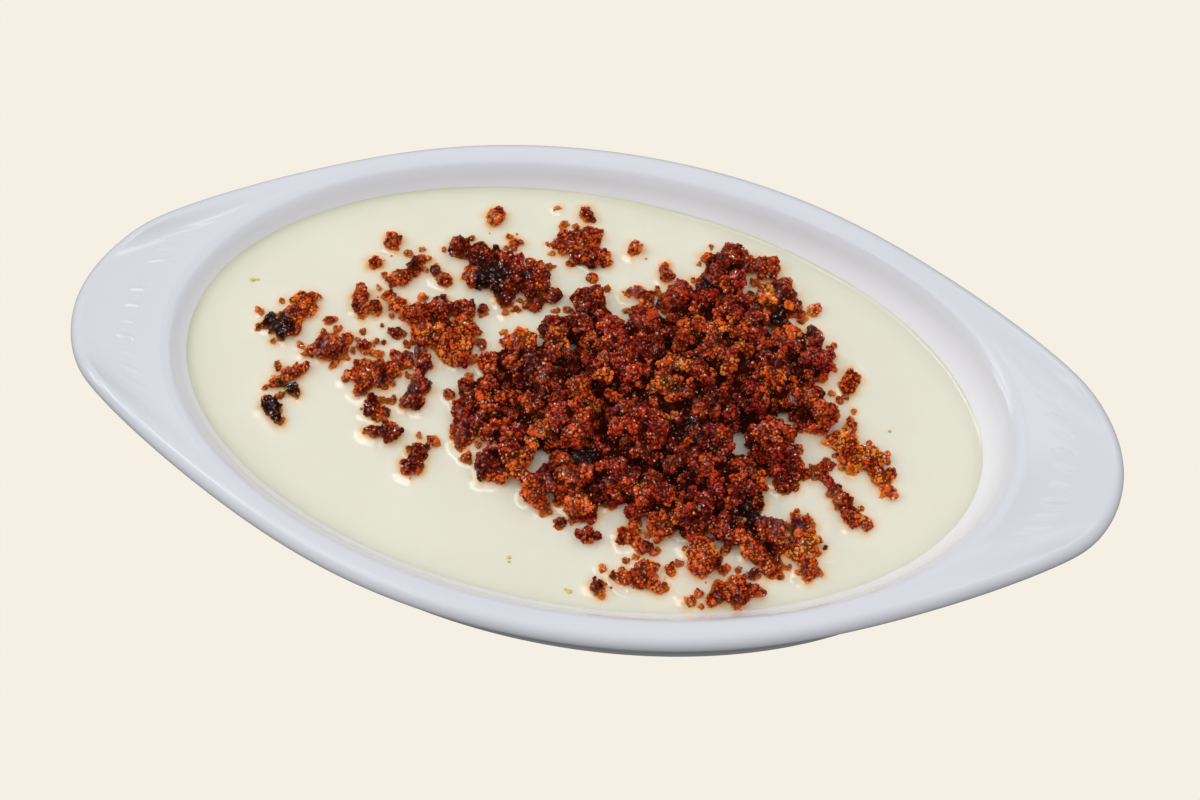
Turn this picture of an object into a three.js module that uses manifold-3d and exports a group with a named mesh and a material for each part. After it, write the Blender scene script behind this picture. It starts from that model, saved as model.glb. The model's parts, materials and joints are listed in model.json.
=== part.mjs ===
// Oval white gratin dish with two lug ends, filled with cheese dip and topped
// with fried chorizo crumbles. Millimetres, +Z up, origin under the middle of
// the foot, +X along the dish. One node for the dish, one for the dip, one for
// the heap of crumbles and one for each loose lump.
import * as THREE from "three";
import { mergeVertices } from "three/addons/utils/BufferGeometryUtils.js";
import Module from "manifold-3d";

const wasm = await Module();
wasm.setup();

// ---------------------------------------------------------------- dimensions
const DISH_HALF_LENGTH = 122.5; // to the tip of each lug
const BODY_HALF_LENGTH = 103.1; // ellipse that carries the long sides
const BODY_HALF_WIDTH = 64.3;
const LUG_RADIUS = 28.5; // round end of each lug
const BLEND = 2.3; // how softly the sides run into the lugs
const CREST_HALF_LENGTH = 100.1; // inner edge of the rim
const CREST_HALF_WIDTH = 60.2;
const RIM_HEIGHT = 32; // crest of the rim above the table
const LIP_HEIGHT = 29.5; // middle of the rounded lip
const LIP_RADIUS = 2.6;
const LUG_DROP = 3.2; // the lugs' edges lie this much lower
const LUG_CREST_DROP = 0.9; // and the crest beside them is this much softer
const FLOOR_HEIGHT = 4.5; // inside floor above the table
const FOOT_RECESS = 0.8;
const GAP = 0.35; // between solids that touch

// inner wall: [inward from the crest, below the crest]
const INNER_WALL = [
  [1.6, 0.4],
  [3.1, 1.8],
  [4.9, 5.0],
  [7.9, 9.6],
  [9.6, 12.2],
  [11.8, 16.2],
  [14.6, 20.8],
  [19.5, 25.0],
  [30.0, RIM_HEIGHT - FLOOR_HEIGHT],
];
// outer wall: [inward from the crest, height above the table]
const OUTER_WALL = [
  [0.1, 25.4],
  [2.2, 20.5],
  [3.9, 14.5],
  [5.8, 8.5],
  [7.5, 1.6],
  [8.8, 0],
  [13.4, 0],
  [14.4, FOOT_RECESS],
];
const SIDES = 60; // facets round the dish

// dip: level at the middle, and its slight lie towards one side and one end
const DIP_LEVEL = 23.0;
const DIP_FALL_X = -0.0294;
const DIP_RISE_Y = 0.036;

// crumbles: the heap's densest place, how high it stands there, and its reach
const HEAP_TOP = { x: 16, y: -1, height: 10.2, reachX: 47, reachY: 41 };
const EDGE_HEIGHT = 3.4; // height of the heap's outermost crumbles

// crumbles of the heap: [x, y, radius]
const HEAP = [
  [13.3, -7.6, 10], [6.8, 7.9, 9.4], [-4.7, -7.1, 9.4], [37.2, 10.4, 8.6], [29.6, 24.7, 8.6],
  [20.3, 4.9, 9], [-21.2, -7.5, 7.6], [1.3, -21.6, 7.4], [27.3, -9.1, 8.4], [36.4, -16.1, 7.6],
  [-11.1, 3.4, 7.6], [39, -25.7, 6], [-13.7, -15.1, 6.8], [28.9, -24.2, 6],
  [25.1, 35.6, 6], [-1.7, 15.8, 6.2], [48.1, 18.8, 5.8], [38, 33.1, 6.2], [19.2, 19.8, 6.6],
  [-17.3, -21.1, 5], [10.3, -19.1, 6.6], [28.8, 1.9, 7.6], [29.2, 14.9, 7], [46.7, 9.4, 6],
  [18.8, -21.1, 5.4], [16.7, 28.2, 4.8], [-18.6, 7.4, 4.6], [-4.6, 23.2, 4.2],
  [-10.1, 14.4, 4.6], [52.7, 5.9, 4], [23.1, 41.4, 3.8], [46, -25.7, 4.6],
  [8.8, 17.8, 5], [48, 25.2, 3.8], [23.4, -29.2, 3.2], [3.9, -28, 3.4], [22.1, 30.2, 4],
  [44.2, -30.3, 3.4], [27.4, 43.2, 2.8], [-26.3, -15.5, 3.4], [-6.4, -25.5, 3.6],
  [41.6, 23.3, 5.4], [42.3, -3.1, 5.8], [48.2, -31.7, 2.8], [-23.2, 2.7, 3.6],
];

// loose lumps, west to east: each is a few crumbles baked together
const LUMPS = [
  [[-69.7, 10.5, 3], [-71.9, 6.3, 3], [-72.8, 2.6, 3.1], [-76.4, 3.4, 2.1]],
  [[-71.1, -11.6, 2], [-68.6, -9, 2.1], [-66.2, -7, 1.9]],
  [[-71.2, -17.6, 2.4], [-69.3, -20, 1.7]],
  [[-66.9, -12.6, 1.9]],
  [[-61.3, -0, 4], [-65.3, -1.8, 2], [-63, 5.7, 2], [-57.8, 3.2, 1.8]],
  [[-57.6, 14.8, 2.4], [-57, 11.9, 2.6], [-53.4, 11.7, 1.8]],
  [[-56.3, 24.7, 1.8]],
  [[-53.9, 31.2, 2.3]],
  [[-53.4, 2, 1.9]],
  [[-51.2, 16.6, 1.7], [-48.8, 14.4, 2.2]],
  [[-50.1, 21.7, 2.5], [-47.1, 24.7, 2.6], [-46.1, 27.6, 1.8]],
  [[-51, -4.8, 4.3], [-46.2, -3, 2.9], [-43.9, 0.1, 2.4], [-51.6, -9.2, 2.2]],
  [[-48.3, -13, 2.6], [-44.9, -13.8, 2.1]],
  [[-42.7, -18.4, 2.6], [-46.2, -19, 2]],
  [[-43.3, 12.5, 3.4], [-38.9, 15.4, 3.2], [-41.4, 7.7, 3.1], [-33.4, 16.4, 3.2], [-31.9, 11.5, 3.4], [-33, 5.9, 5], [-37.4, 10.7, 2.8]],
  [[-39.7, 23, 2.5], [-42.2, 25.2, 1.6]],
  [[-39.3, -0.6, 2.3], [-38.4, -5, 2.6], [-39.4, -9.4, 3]],
  [[-35, -21.7, 2.4], [-35.6, -25.5, 2.8]],
  [[-31.5, 42.9, 2.6]],
  [[-37.6, 32, 2.8], [-32.7, 31.2, 3.6], [-31.3, 26.2, 4.2], [-25.4, 27.1, 5.4], [-18.8, 27.1, 4.4], [-24.4, 21.4, 3], [-17.7, 21.8, 2.4], [-13.7, 24.5, 2.5]],
  [[-25.3, 36.3, 1.6]],
  [[-13.4, 39.4, 3.3], [-8.5, 42, 3.4], [-8.5, 37, 3.8], [-4, 37.1, 2.7]],
  [[-10.3, 48, 1.9]],
  [[2.7, 41.2, 2.1]],
  [[8.1, 27.9, 3], [3.9, 29.8, 1.8]],
  [[11.2, 35.7, 2.1], [10.5, 38, 1.5]],
  [[11, -45.7, 1.7]],
  [[15.8, -32.8, 2.6], [19.4, -34.5, 2.3]],
  [[20.4, -41, 3.5], [16.4, -42.8, 2.4], [24.4, -43.3, 2]],
  [[26.4, -38.7, 1.5]],
  [[32.9, -34.5, 4.4]],
  [[32.3, -45.1, 1.8]],
  [[42.6, -40.7, 3.3], [38.1, -41.7, 2.9], [45.6, -39.7, 2.2]],
  [[33.9, 42.8, 3.2]],
  [[48.9, -8.7, 3.8], [47.8, -12.3, 3]],
  [[54.6, -26.7, 4.4], [52.9, -21.5, 2.8], [56.9, -32.3, 2.7]],
  [[54.3, -6.7, 1.7], [56.6, -8.9, 1.8], [58.8, -11.3, 1.9], [61.1, -13.9, 2.1], [63.7, -16.8, 2.8], [67.2, -17.8, 2.1]],
  [[57.8, 15.5, 2.3], [58.6, 17.8, 2]],
  [[59.1, 1.1, 3.7], [60.2, 5.5, 2.1], [61.9, -3.7, 2.8], [65.5, -2.1, 3.7], [68.8, -6.1, 2.9], [71.4, -8.9, 2]],
];

// ------------------------------------------------------------------- helpers
// An oval is given by how far it reaches in each direction (its support
// function), so that an oval moved inward keeps parallel to itself.
function reach(fn) {
  const e = 1e-3;
  return (t) => {
    const h = fn(t);
    const d = (fn(t + e) - fn(t - e)) / (2 * e);
    return [h * Math.cos(t) - d * Math.sin(t), h * Math.sin(t) + d * Math.cos(t)];
  };
}
const ellipse = (a, b) => (t) => Math.hypot(a * Math.cos(t), b * Math.sin(t));
const crestReach = ellipse(CREST_HALF_LENGTH, CREST_HALF_WIDTH);
function outlineReach(t) {
  const body = Math.hypot(BODY_HALF_LENGTH * Math.cos(t), BODY_HALF_WIDTH * Math.sin(t));
  const lug = LUG_RADIUS + (DISH_HALF_LENGTH - LUG_RADIUS) * Math.abs(Math.cos(t));
  const m = Math.max(body, lug);
  return m + BLEND * Math.log(Math.exp((body - m) / BLEND) + Math.exp((lug - m) / BLEND));
}
// 0 along the sides, 1 at the lugs
function lugShare(t) {
  const w = (outlineReach(t) - crestReach(t) - 4.4) / 17.5;
  const c = Math.min(1, Math.max(0, w));
  return c * c * (3 - 2 * c);
}
const angle = (i) => (2 * Math.PI * i) / SIDES;

// Closed surface through a stack of rings, ended by a point at both ends.
function loft(rings, first, last) {
  const pos = [...first];
  for (const ring of rings) for (const p of ring) pos.push(...p);
  pos.push(...last);
  const at = (r, i) => 1 + r * SIDES + (i % SIDES);
  const end = 1 + rings.length * SIDES;
  const idx = [];
  for (let i = 0; i < SIDES; i++) {
    idx.push(0, at(0, i), at(0, i + 1));
    for (let r = 0; r + 1 < rings.length; r++)
      idx.push(at(r, i), at(r + 1, i), at(r + 1, i + 1), at(r, i), at(r + 1, i + 1), at(r, i + 1));
    idx.push(end, at(rings.length - 1, i + 1), at(rings.length - 1, i));
  }
  const g = new THREE.BufferGeometry();
  g.setAttribute("position", new THREE.Float32BufferAttribute(pos, 3));
  g.setIndex(idx);
  return g;
}

const hash = (a, b, c) => {
  const s = Math.sin(a * 127.1 + b * 311.7 + c * 74.7) * 43758.5453;
  return s - Math.floor(s);
};

function solidOf(geometry) {
  const g = geometry.clone();
  g.deleteAttribute("normal");
  g.deleteAttribute("uv");
  const m = mergeVertices(g, 1e-4);
  return new wasm.Manifold(
    new wasm.Mesh({
      numProp: 3,
      vertProperties: new Float32Array(m.attributes.position.array),
      triVerts: new Uint32Array(m.index.array),
    }),
  );
}
function geometryOf(solid) {
  const m = solid.getMesh();
  const n = m.numProp;
  const pos = new Float32Array(m.numVert * 3);
  for (let i = 0; i < m.numVert; i++) pos.set(m.vertProperties.subarray(i * n, i * n + 3), i * 3);
  const g = new THREE.BufferGeometry();
  g.setAttribute("position", new THREE.BufferAttribute(pos, 3));
  g.setIndex(new THREE.BufferAttribute(new Uint32Array(m.triVerts), 1));
  return g;
}
const biggest = (solid) =>
  solid.decompose().reduce((a, b) => (a.volume() > b.volume() ? a : b));
const paint = (g, colour, roughness) => {
  const flat = g.index ? g.toNonIndexed() : g;
  flat.computeVertexNormals();
  return new THREE.Mesh(flat, new THREE.MeshStandardMaterial({ color: colour, roughness, metalness: 0 }));
};

// ---------------------------------------------------------------------- dish
const crestAt = (t) => RIM_HEIGHT - LUG_CREST_DROP * lugShare(t);
const lipAt = (t) => LIP_HEIGHT - LUG_DROP * lugShare(t);
function ring(reachFn, heightFn) {
  const oval = reach(reachFn);
  return Array.from({ length: SIDES }, (_, i) => {
    const t = angle(i);
    return [...oval(t), heightFn(t)];
  });
}
function dishRings() {
  const rings = [];
  for (const [inward, below] of [...INNER_WALL].reverse())
    rings.push(
      ring(
        (t) => crestReach(t) - inward,
        (t) => {
          const k = Math.exp(-below / 3); // the soft crest fades out down the wall
          return RIM_HEIGHT - below - (RIM_HEIGHT - crestAt(t)) * k;
        },
      ),
    );
  for (const s of [0, 0.45])
    rings.push(
      ring(
        (t) => crestReach(t) * (1 - s) + (outlineReach(t) - LIP_RADIUS) * s,
        (t) => {
          const flat = lipAt(t) + LIP_RADIUS - 0.1;
          const soft = 1 - (1 - s) ** 2;
          return crestAt(t) * (1 - soft) + flat * soft;
        },
      ),
    );
  for (const deg of [86, 40, 0, -40, -78]) {
    const a = (deg * Math.PI) / 180;
    rings.push(
      ring(
        (t) => outlineReach(t) - LIP_RADIUS * (1 - Math.cos(a)),
        (t) => lipAt(t) + LIP_RADIUS * Math.sin(a),
      ),
    );
  }
  for (const [inward, z] of OUTER_WALL) rings.push(ring((t) => crestReach(t) - inward, () => z));
  return rings;
}
const dishGeometry = loft(dishRings(), [0, 0, FLOOR_HEIGHT], [0, 0, FOOT_RECESS]);

// ----------------------------------------------------------------------- dip
const dipLevel = (x, y) => DIP_LEVEL + DIP_FALL_X * x + DIP_RISE_Y * y;
function wallInward(height) {
  const below = RIM_HEIGHT - height;
  for (let i = 1; i < INNER_WALL.length; i++) {
    const [d0, b0] = INNER_WALL[i - 1];
    const [d1, b1] = INNER_WALL[i];
    if (below <= b1) return d0 + ((d1 - d0) * (below - b0)) / (b1 - b0);
  }
  return INNER_WALL[INNER_WALL.length - 1][0];
}
function dipRings() {
  // the edge of the surface: where the sloping level meets the wall
  const level = Array.from({ length: SIDES }, (_, i) => {
    const t = angle(i);
    let z = DIP_LEVEL;
    let p = [0, 0];
    for (let k = 0; k < 20; k++) {
      const inward = wallInward(z) + GAP * 1.4;
      p = reach((s) => crestReach(s) - inward)(t);
      z = dipLevel(p[0], p[1]);
    }
    return [p[0], p[1], z];
  });
  const rings = [
    level.map(([x, y]) => [x * 0.5, y * 0.5, dipLevel(x * 0.5, y * 0.5)]),
    level,
  ];
  for (const [inward, below] of INNER_WALL.filter(([, b]) => b > 14)) {
    const z = Math.max(RIM_HEIGHT - below, FLOOR_HEIGHT + GAP);
    rings.push(ring((t) => crestReach(t) - inward - GAP * 1.4, () => z));
  }
  return rings;
}
const dipGeometry = loft(dipRings(), [0, 0, DIP_LEVEL], [0, 0, FLOOR_HEIGHT + GAP]);

// ------------------------------------------------------------------ crumbles
// half space under the dip's surface, as a thick sloping slab
function underDip(lift) {
  const g = new THREE.BoxGeometry(300, 200, 60);
  const p = g.attributes.position;
  for (let i = 0; i < p.count; i++) {
    const x = p.getX(i);
    const y = p.getY(i);
    p.setZ(i, p.getZ(i) > 0 ? dipLevel(x, y) + lift : -40);
  }
  return solidOf(g);
}
const slab = underDip(GAP);

// One crumble: an uneven pebble of the given radius whose top is `height`
// over the dip.
function crumble([x, y, r], height, grow = 0) {
  const small = r < 2.5; // the smallest are plain pebbles
  const base = small
    ? new THREE.IcosahedronGeometry(1.12, 0)
    : r < 8
      ? new THREE.OctahedronGeometry(1.03, 1)
      : new THREE.IcosahedronGeometry(1, 1);
  base.rotateZ(hash(x, y, 1) * 6.28);
  base.rotateX(0.35 + hash(x, y, 2) * 0.5);
  const g = base;
  const p = g.attributes.position;
  const squash = 0.88 + 0.24 * hash(x, y, 3);
  for (let i = 0; i < p.count; i++) {
    const v = new THREE.Vector3().fromBufferAttribute(p, i);
    const n = v.clone().multiplyScalar(50).round();
    const k = 1.02 + 0.2 * hash(n.x + x, n.y + y, n.z + r);
    p.setXYZ(
      i,
      x + v.x * (r * k * squash + grow),
      y + (v.y * (r * k + grow * squash)) / squash,
      dipLevel(x, y) + height * 0.2 + v.z * (height * 0.8 * k + grow),
    );
  }
  return solidOf(g);
}
function heapHeight(x, y, r) {
  const d = Math.hypot((x - HEAP_TOP.x) / HEAP_TOP.reachX, (y - HEAP_TOP.y) / HEAP_TOP.reachY);
  const dome = EDGE_HEIGHT + (HEAP_TOP.height - EDGE_HEIGHT) * Math.max(0, 1 - d ** 1.8);
  return Math.min(dome, r * 0.95 + 2.4) + 1.2 * (hash(x, y, 4) - 0.5);
}
const lumpHeight = (x, y, r) => 0.9 * r + 1.1 + 0.7 * (hash(x, y, 4) - 0.5);
function bake(list, heightFn, grow = 0) {
  return list.map((c) => crumble(c, heightFn(...c), grow)).reduce((a, b) => a.add(b));
}

const placed = [];
function place(list, heightFn) {
  let solid = bake(list, heightFn).subtract(slab);
  for (const other of placed) {
    const near = other.list.some(([x, y, r]) =>
      list.some(([u, v, s]) => Math.hypot(x - u, y - v) < (r + s) * 1.4 + 1),
    );
    if (near) solid = solid.subtract(other.cutter);
  }
  placed.push({ list, cutter: bake(list, heightFn, GAP) });
  return biggest(solid);
}

// --------------------------------------------------------------------- group
const part = new THREE.Group();
const dish = paint(dishGeometry, 0xd9dce0, 0.16);
dish.name = "dish";
const dip = paint(dipGeometry, 0xe2e2cf, 0.38);
dip.name = "cheese_dip";
const heap = paint(geometryOf(place(HEAP, heapHeight)), 0x7a2c10, 0.45);
heap.name = "chorizo_heap";
part.add(dish, dip, heap);
LUMPS.forEach((list, i) => {
  const lump = paint(geometryOf(place(list, lumpHeight)), 0x8a3312, 0.45);
  lump.name = `chorizo_lump_${String(i + 1).padStart(2, "0")}`;
  part.add(lump);
});

export default part;
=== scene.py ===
import json
import math

import bpy
import numpy as np
from mathutils import Matrix, Vector, kdtree

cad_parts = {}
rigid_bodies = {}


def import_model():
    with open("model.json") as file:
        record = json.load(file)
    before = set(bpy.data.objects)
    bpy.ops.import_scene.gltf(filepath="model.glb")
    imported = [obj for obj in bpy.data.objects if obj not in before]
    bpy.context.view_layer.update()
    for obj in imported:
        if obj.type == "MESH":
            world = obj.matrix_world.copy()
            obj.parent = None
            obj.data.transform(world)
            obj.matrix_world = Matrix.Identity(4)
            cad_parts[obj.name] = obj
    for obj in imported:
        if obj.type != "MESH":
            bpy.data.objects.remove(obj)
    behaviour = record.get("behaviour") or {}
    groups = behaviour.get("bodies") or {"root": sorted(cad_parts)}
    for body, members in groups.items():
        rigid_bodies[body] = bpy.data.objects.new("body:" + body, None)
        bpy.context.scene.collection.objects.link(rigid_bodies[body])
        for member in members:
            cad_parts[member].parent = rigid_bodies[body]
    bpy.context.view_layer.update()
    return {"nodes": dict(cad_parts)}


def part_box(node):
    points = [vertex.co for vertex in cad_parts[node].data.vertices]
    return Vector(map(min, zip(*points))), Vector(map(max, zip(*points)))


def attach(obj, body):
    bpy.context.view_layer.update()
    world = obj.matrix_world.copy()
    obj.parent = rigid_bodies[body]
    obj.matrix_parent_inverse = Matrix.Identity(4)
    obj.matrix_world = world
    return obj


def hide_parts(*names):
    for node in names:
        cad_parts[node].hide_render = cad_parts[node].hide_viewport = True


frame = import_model()
rng = np.random.default_rng(20)
MM = 0.001

# ------------------------------------------------------------------ sizes, mm
low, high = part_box("dish")
HALF_LENGTH = (high.x - low.x) / 2 / MM
BODY_A, BODY_B = 103.1, (high.y - low.y) / 2 / MM
LUG_R, BLEND = 28.5, 2.3
CREST_A, CREST_B = 100.1, 60.2
RIM, LIP, LIP_R = 32.0, 29.5, 2.6
LUG_DROP, LUG_CREST_DROP = 3.2, 0.9
FLOOR, RECESS = 4.5, 0.8
INNER = np.array(
    [[0, 0], [1.6, 0.4], [3.1, 1.8], [4.9, 5.0], [7.9, 9.6], [9.6, 12.2], [11.8, 16.2], [14.6, 20.8], [19.5, 25.0], [30.0, 27.5]]
)
OUTER = np.array([[0.1, 25.4], [2.2, 20.5], [3.9, 14.5], [5.8, 8.5], [7.5, 1.6]])
LEVEL, FALL_X, RISE_Y = 23.0, -0.0294, 0.036
SIDES = 384
SKY_LOW, SKY_HIGH = 0.21, 0.95


# -------------------------------------------------------------------- helpers
def make_mesh(name, verts, faces, scale=MM):
    """A mesh from arrays: verts (n, 3) in mm, faces (m, 3) or (m, 4)."""
    verts, faces = np.asarray(verts, float), np.asarray(faces, np.int32)
    me = bpy.data.meshes.new(name)
    me.vertices.add(len(verts))
    me.vertices.foreach_set("co", (verts * scale).ravel())
    k = faces.shape[1]
    me.loops.add(len(faces) * k)
    me.loops.foreach_set("vertex_index", faces.ravel())
    me.polygons.add(len(faces))
    me.polygons.foreach_set("loop_start", np.arange(0, len(faces) * k, k, dtype=np.int32))
    me.update(calc_edges=True)
    return me


def add_object(name, me, smooth=True):
    if smooth:
        me.polygons.foreach_set("use_smooth", np.ones(len(me.polygons), bool))
    o = bpy.data.objects.new(name, me)
    bpy.context.scene.collection.objects.link(o)
    return o


def arrays(me):
    """Vertices and triangles of a mesh as arrays."""
    v = np.zeros(len(me.vertices) * 3)
    me.vertices.foreach_get("co", v)
    me.calc_loop_triangles()
    t = np.zeros(len(me.loop_triangles) * 3, np.int32)
    me.loop_triangles.foreach_get("vertices", t)
    return v.reshape(-1, 3), t.reshape(-1, 3)


def attribute(me, name, values):
    a = me.attributes.new(name, "FLOAT", "POINT")
    a.data.foreach_set("value", np.asarray(values, np.float32))


def worked(verts, faces, voxel=None, ratio=None):
    """Verts and triangles after a voxel remesh and a decimation, in the units given."""
    me = make_mesh("work", verts, faces, 1.0)
    o = bpy.data.objects.new("work", me)
    bpy.context.scene.collection.objects.link(o)
    if voxel:
        m = o.modifiers.new("fuse", "REMESH")
        m.mode, m.voxel_size, m.adaptivity = "VOXEL", voxel, 0.0
    if ratio:
        m = o.modifiers.new("thin", "DECIMATE")
        m.decimate_type, m.ratio = "COLLAPSE", ratio
    made = bpy.data.meshes.new_from_object(o.evaluated_get(bpy.context.evaluated_depsgraph_get()))
    out = arrays(made)
    bpy.data.objects.remove(o)
    bpy.data.meshes.remove(me)
    bpy.data.meshes.remove(made)
    return out


def normals(v, f):
    n = np.cross(v[f[:, 1]] - v[f[:, 0]], v[f[:, 2]] - v[f[:, 0]])
    out = np.zeros_like(v)
    for k in range(3):
        for c in range(3):
            out[:, c] += np.bincount(f[:, k], n[:, c], len(v))
    return out / np.maximum(np.linalg.norm(out, axis=1, keepdims=True), 1e-12)


def smoothed(v, f, times, share=0.6):
    e = np.concatenate([f[:, [0, 1]], f[:, [1, 2]], f[:, [2, 0]]])
    e = np.concatenate([e, e[:, ::-1]])
    count = np.maximum(np.bincount(e[:, 0], minlength=len(v)), 1)
    p = v.copy()
    for _ in range(times):
        q = np.stack([np.bincount(e[:, 0], p[e[:, 1], c], len(v)) / count for c in range(3)], 1)
        p = p * (1 - share) + q * share
    return p


def ico(level):
    """A unit sphere as (verts, triangles): level 1 has 20 triangles, 2 has 80."""
    g = (1 + 5**0.5) / 2
    v = [(-1, g, 0), (1, g, 0), (-1, -g, 0), (1, -g, 0), (0, -1, g), (0, 1, g), (0, -1, -g), (0, 1, -g)]
    v += [(g, 0, -1), (g, 0, 1), (-g, 0, -1), (-g, 0, 1)]
    f = [(0, 11, 5), (0, 5, 1), (0, 1, 7), (0, 7, 10), (0, 10, 11), (1, 5, 9), (5, 11, 4), (11, 10, 2)]
    f += [(10, 7, 6), (7, 1, 8), (3, 9, 4), (3, 4, 2), (3, 2, 6), (3, 6, 8), (3, 8, 9), (4, 9, 5)]
    f += [(2, 4, 11), (6, 2, 10), (8, 6, 7), (9, 8, 1)]
    v = [np.array(p) / np.linalg.norm(p) for p in v]
    for _ in range(level - 1):
        mid, out = {}, []
        for a, b, c in f:
            m = []
            for p, q in ((a, b), (b, c), (c, a)):
                key = (min(p, q), max(p, q))
                if key not in mid:
                    mid[key] = len(v)
                    s = v[p] + v[q]
                    v.append(s / np.linalg.norm(s))
                m.append(mid[key])
            out += [(a, m[0], m[2]), (b, m[1], m[0]), (c, m[2], m[1]), tuple(m)]
        f = out
    return np.array(v), np.array(f)


ICO = {n: ico(n) for n in (1, 2, 3)}


def balls(centres, radii, level):
    """Many spheres as one set of verts and triangles."""
    v, f = ICO[level]
    centres, radii = np.asarray(centres, float), np.asarray(radii, float)
    verts = centres[:, None, :] + v[None] * radii[:, None, None]
    faces = f[None] + (np.arange(len(centres)) * len(v))[:, None, None]
    return verts.reshape(-1, 3), faces.reshape(-1, 3)


def join(parts):
    vs, fs, n = [], [], 0
    for v, f in parts:
        vs.append(v)
        fs.append(np.asarray(f) + n)
        n += len(v)
    return np.concatenate(vs), np.concatenate(fs)


def on_surface(v, f, spacing, r):
    """Points spread over a surface, at most one to each cube of that spacing, their normals and their triangles."""
    a, b, c = v[f[:, 0]], v[f[:, 1]], v[f[:, 2]]
    n = np.cross(b - a, c - a)
    area = np.linalg.norm(n, axis=1) / 2
    total = int(area.sum() / spacing**2 * 5) + 8
    k = r.choice(len(f), total, p=area / area.sum())
    u, w = r.random(total), r.random(total)
    flip = u + w > 1
    u[flip], w[flip] = 1 - u[flip], 1 - w[flip]
    p = a[k] + (b[k] - a[k]) * u[:, None] + (c[k] - a[k]) * w[:, None]
    m = n[k] / np.maximum(np.linalg.norm(n[k], axis=1, keepdims=True), 1e-12)
    cell = np.floor(p / spacing).astype(np.int64)
    _, first = np.unique(cell, axis=0, return_index=True)
    p, m, k = p[first], m[first], k[first]
    # thin out neighbours in adjoining cubes that came too close
    keep = np.ones(len(p), bool)
    grid = {}
    for i, key in enumerate(map(tuple, np.floor(p / spacing).astype(int))):
        near = [
            j
            for dx in (-1, 0, 1)
            for dy in (-1, 0, 1)
            for dz in (-1, 0, 1)
            for j in grid.get((key[0] + dx, key[1] + dy, key[2] + dz), ())
        ]
        if near and np.min(((p[near] - p[i]) ** 2).sum(1)) < (0.62 * spacing) ** 2:
            keep[i] = False
        else:
            grid.setdefault(key, []).append(i)
    return p[keep], m[keep], k[keep]


# ----------------------------------------------------------------------- dish
def ellipse(a, b):
    return lambda t: np.hypot(a * np.cos(t), b * np.sin(t))


crest_reach = ellipse(CREST_A, CREST_B)


def outline_reach(t):
    body = np.hypot(BODY_A * np.cos(t), BODY_B * np.sin(t))
    lug = LUG_R + (HALF_LENGTH - LUG_R) * np.abs(np.cos(t))
    return np.logaddexp(body / BLEND, lug / BLEND) * BLEND


def oval(reach, t):
    e = 1e-3
    h, d = reach(t), (reach(t + e) - reach(t - e)) / (2 * e)
    return h * np.cos(t) - d * np.sin(t), h * np.sin(t) + d * np.cos(t)


def lug_share(t):
    c = np.clip((outline_reach(t) - crest_reach(t) - 4.4) / 17.5, 0, 1)
    return c * c * (3 - 2 * c)


def even_angles(n, lugs=0.0):
    """Angles that space the outline and the crest about evenly, and closer at the lugs."""
    t = np.linspace(0, 2 * np.pi, 40001)
    length = np.zeros(len(t))
    for reach in (outline_reach, crest_reach):
        x, y = oval(reach, t)
        length[1:] += np.cumsum(np.hypot(np.diff(x), np.diff(y)))
    length += t * 18
    end = np.exp(-((np.abs(np.mod(t + np.pi / 2, np.pi) - np.pi / 2) / 0.62) ** 4))
    length += lugs * np.cumsum(end) * (t[1] - t[0])
    return np.interp(np.arange(n) * length[-1] / n, length, t)


def pchip(x, y, q):
    """Monotone cubic through (x, y), at q."""
    h, d = np.diff(x), np.diff(y) / np.diff(x)
    m = np.zeros(len(x))
    m[0], m[-1] = d[0], d[-1]
    for i in range(1, len(x) - 1):
        if d[i - 1] * d[i] > 0:
            w1, w2 = 2 * h[i] + h[i - 1], h[i] + 2 * h[i - 1]
            m[i] = (w1 + w2) / (w1 / d[i - 1] + w2 / d[i])
    k = np.clip(np.searchsorted(x, q) - 1, 0, len(h) - 1)
    s = (q - x[k]) / h[k]
    return (
        y[k] * (1 + 2 * s) * (1 - s) ** 2
        + m[k] * h[k] * s * (1 - s) ** 2
        + y[k + 1] * s**2 * (3 - 2 * s)
        + m[k + 1] * h[k] * s**2 * (s - 1)
    )


INNER_S = np.concatenate([[0], np.cumsum(np.hypot(*np.diff(INNER, axis=0).T))])


def inner_wall(s):
    """Inward and below the crest, at a length down the inner wall."""
    return pchip(INNER_S, INNER[:, 0], s), pchip(INNER_S, INNER[:, 1], s)


def wall_inward(height):
    """How far inward of the crest the inner wall is, at a height."""
    s = np.linspace(0, INNER_S[-1], 600)
    d, b = inner_wall(s)
    return np.interp(RIM - height, b, d)


def loft(rings, first=None, last=None):
    """Closed surface through rings of SIDES points each, from an inner centre to an outer one."""
    n = rings[0].shape[0]
    verts = [np.array([first])] + list(rings) + [np.array([last])]
    i = np.arange(n)
    j = (i + 1) % n
    tris = [np.stack([np.zeros(n, int), 1 + i, 1 + j], 1)]
    end = 1 + len(rings) * n
    quads = []
    for r in range(len(rings) - 1):
        a, b = 1 + r * n, 1 + (r + 1) * n
        quads.append(np.stack([a + i, b + i, b + j, a + j], 1))
    tris.append(np.stack([np.full(n, end), end - n + j, end - n + i], 1))
    q = np.concatenate(quads)
    tris.append(q[:, [0, 1, 2]])
    tris.append(q[:, [0, 2, 3]])
    return np.concatenate(verts), np.concatenate(tris)


RIB_AT, RIB_PITCH, RIB_LONG, RIB_WIDE, RIB_HIGH = 0.43, 4.4, 2.1, 0.55, 0.30


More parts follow.
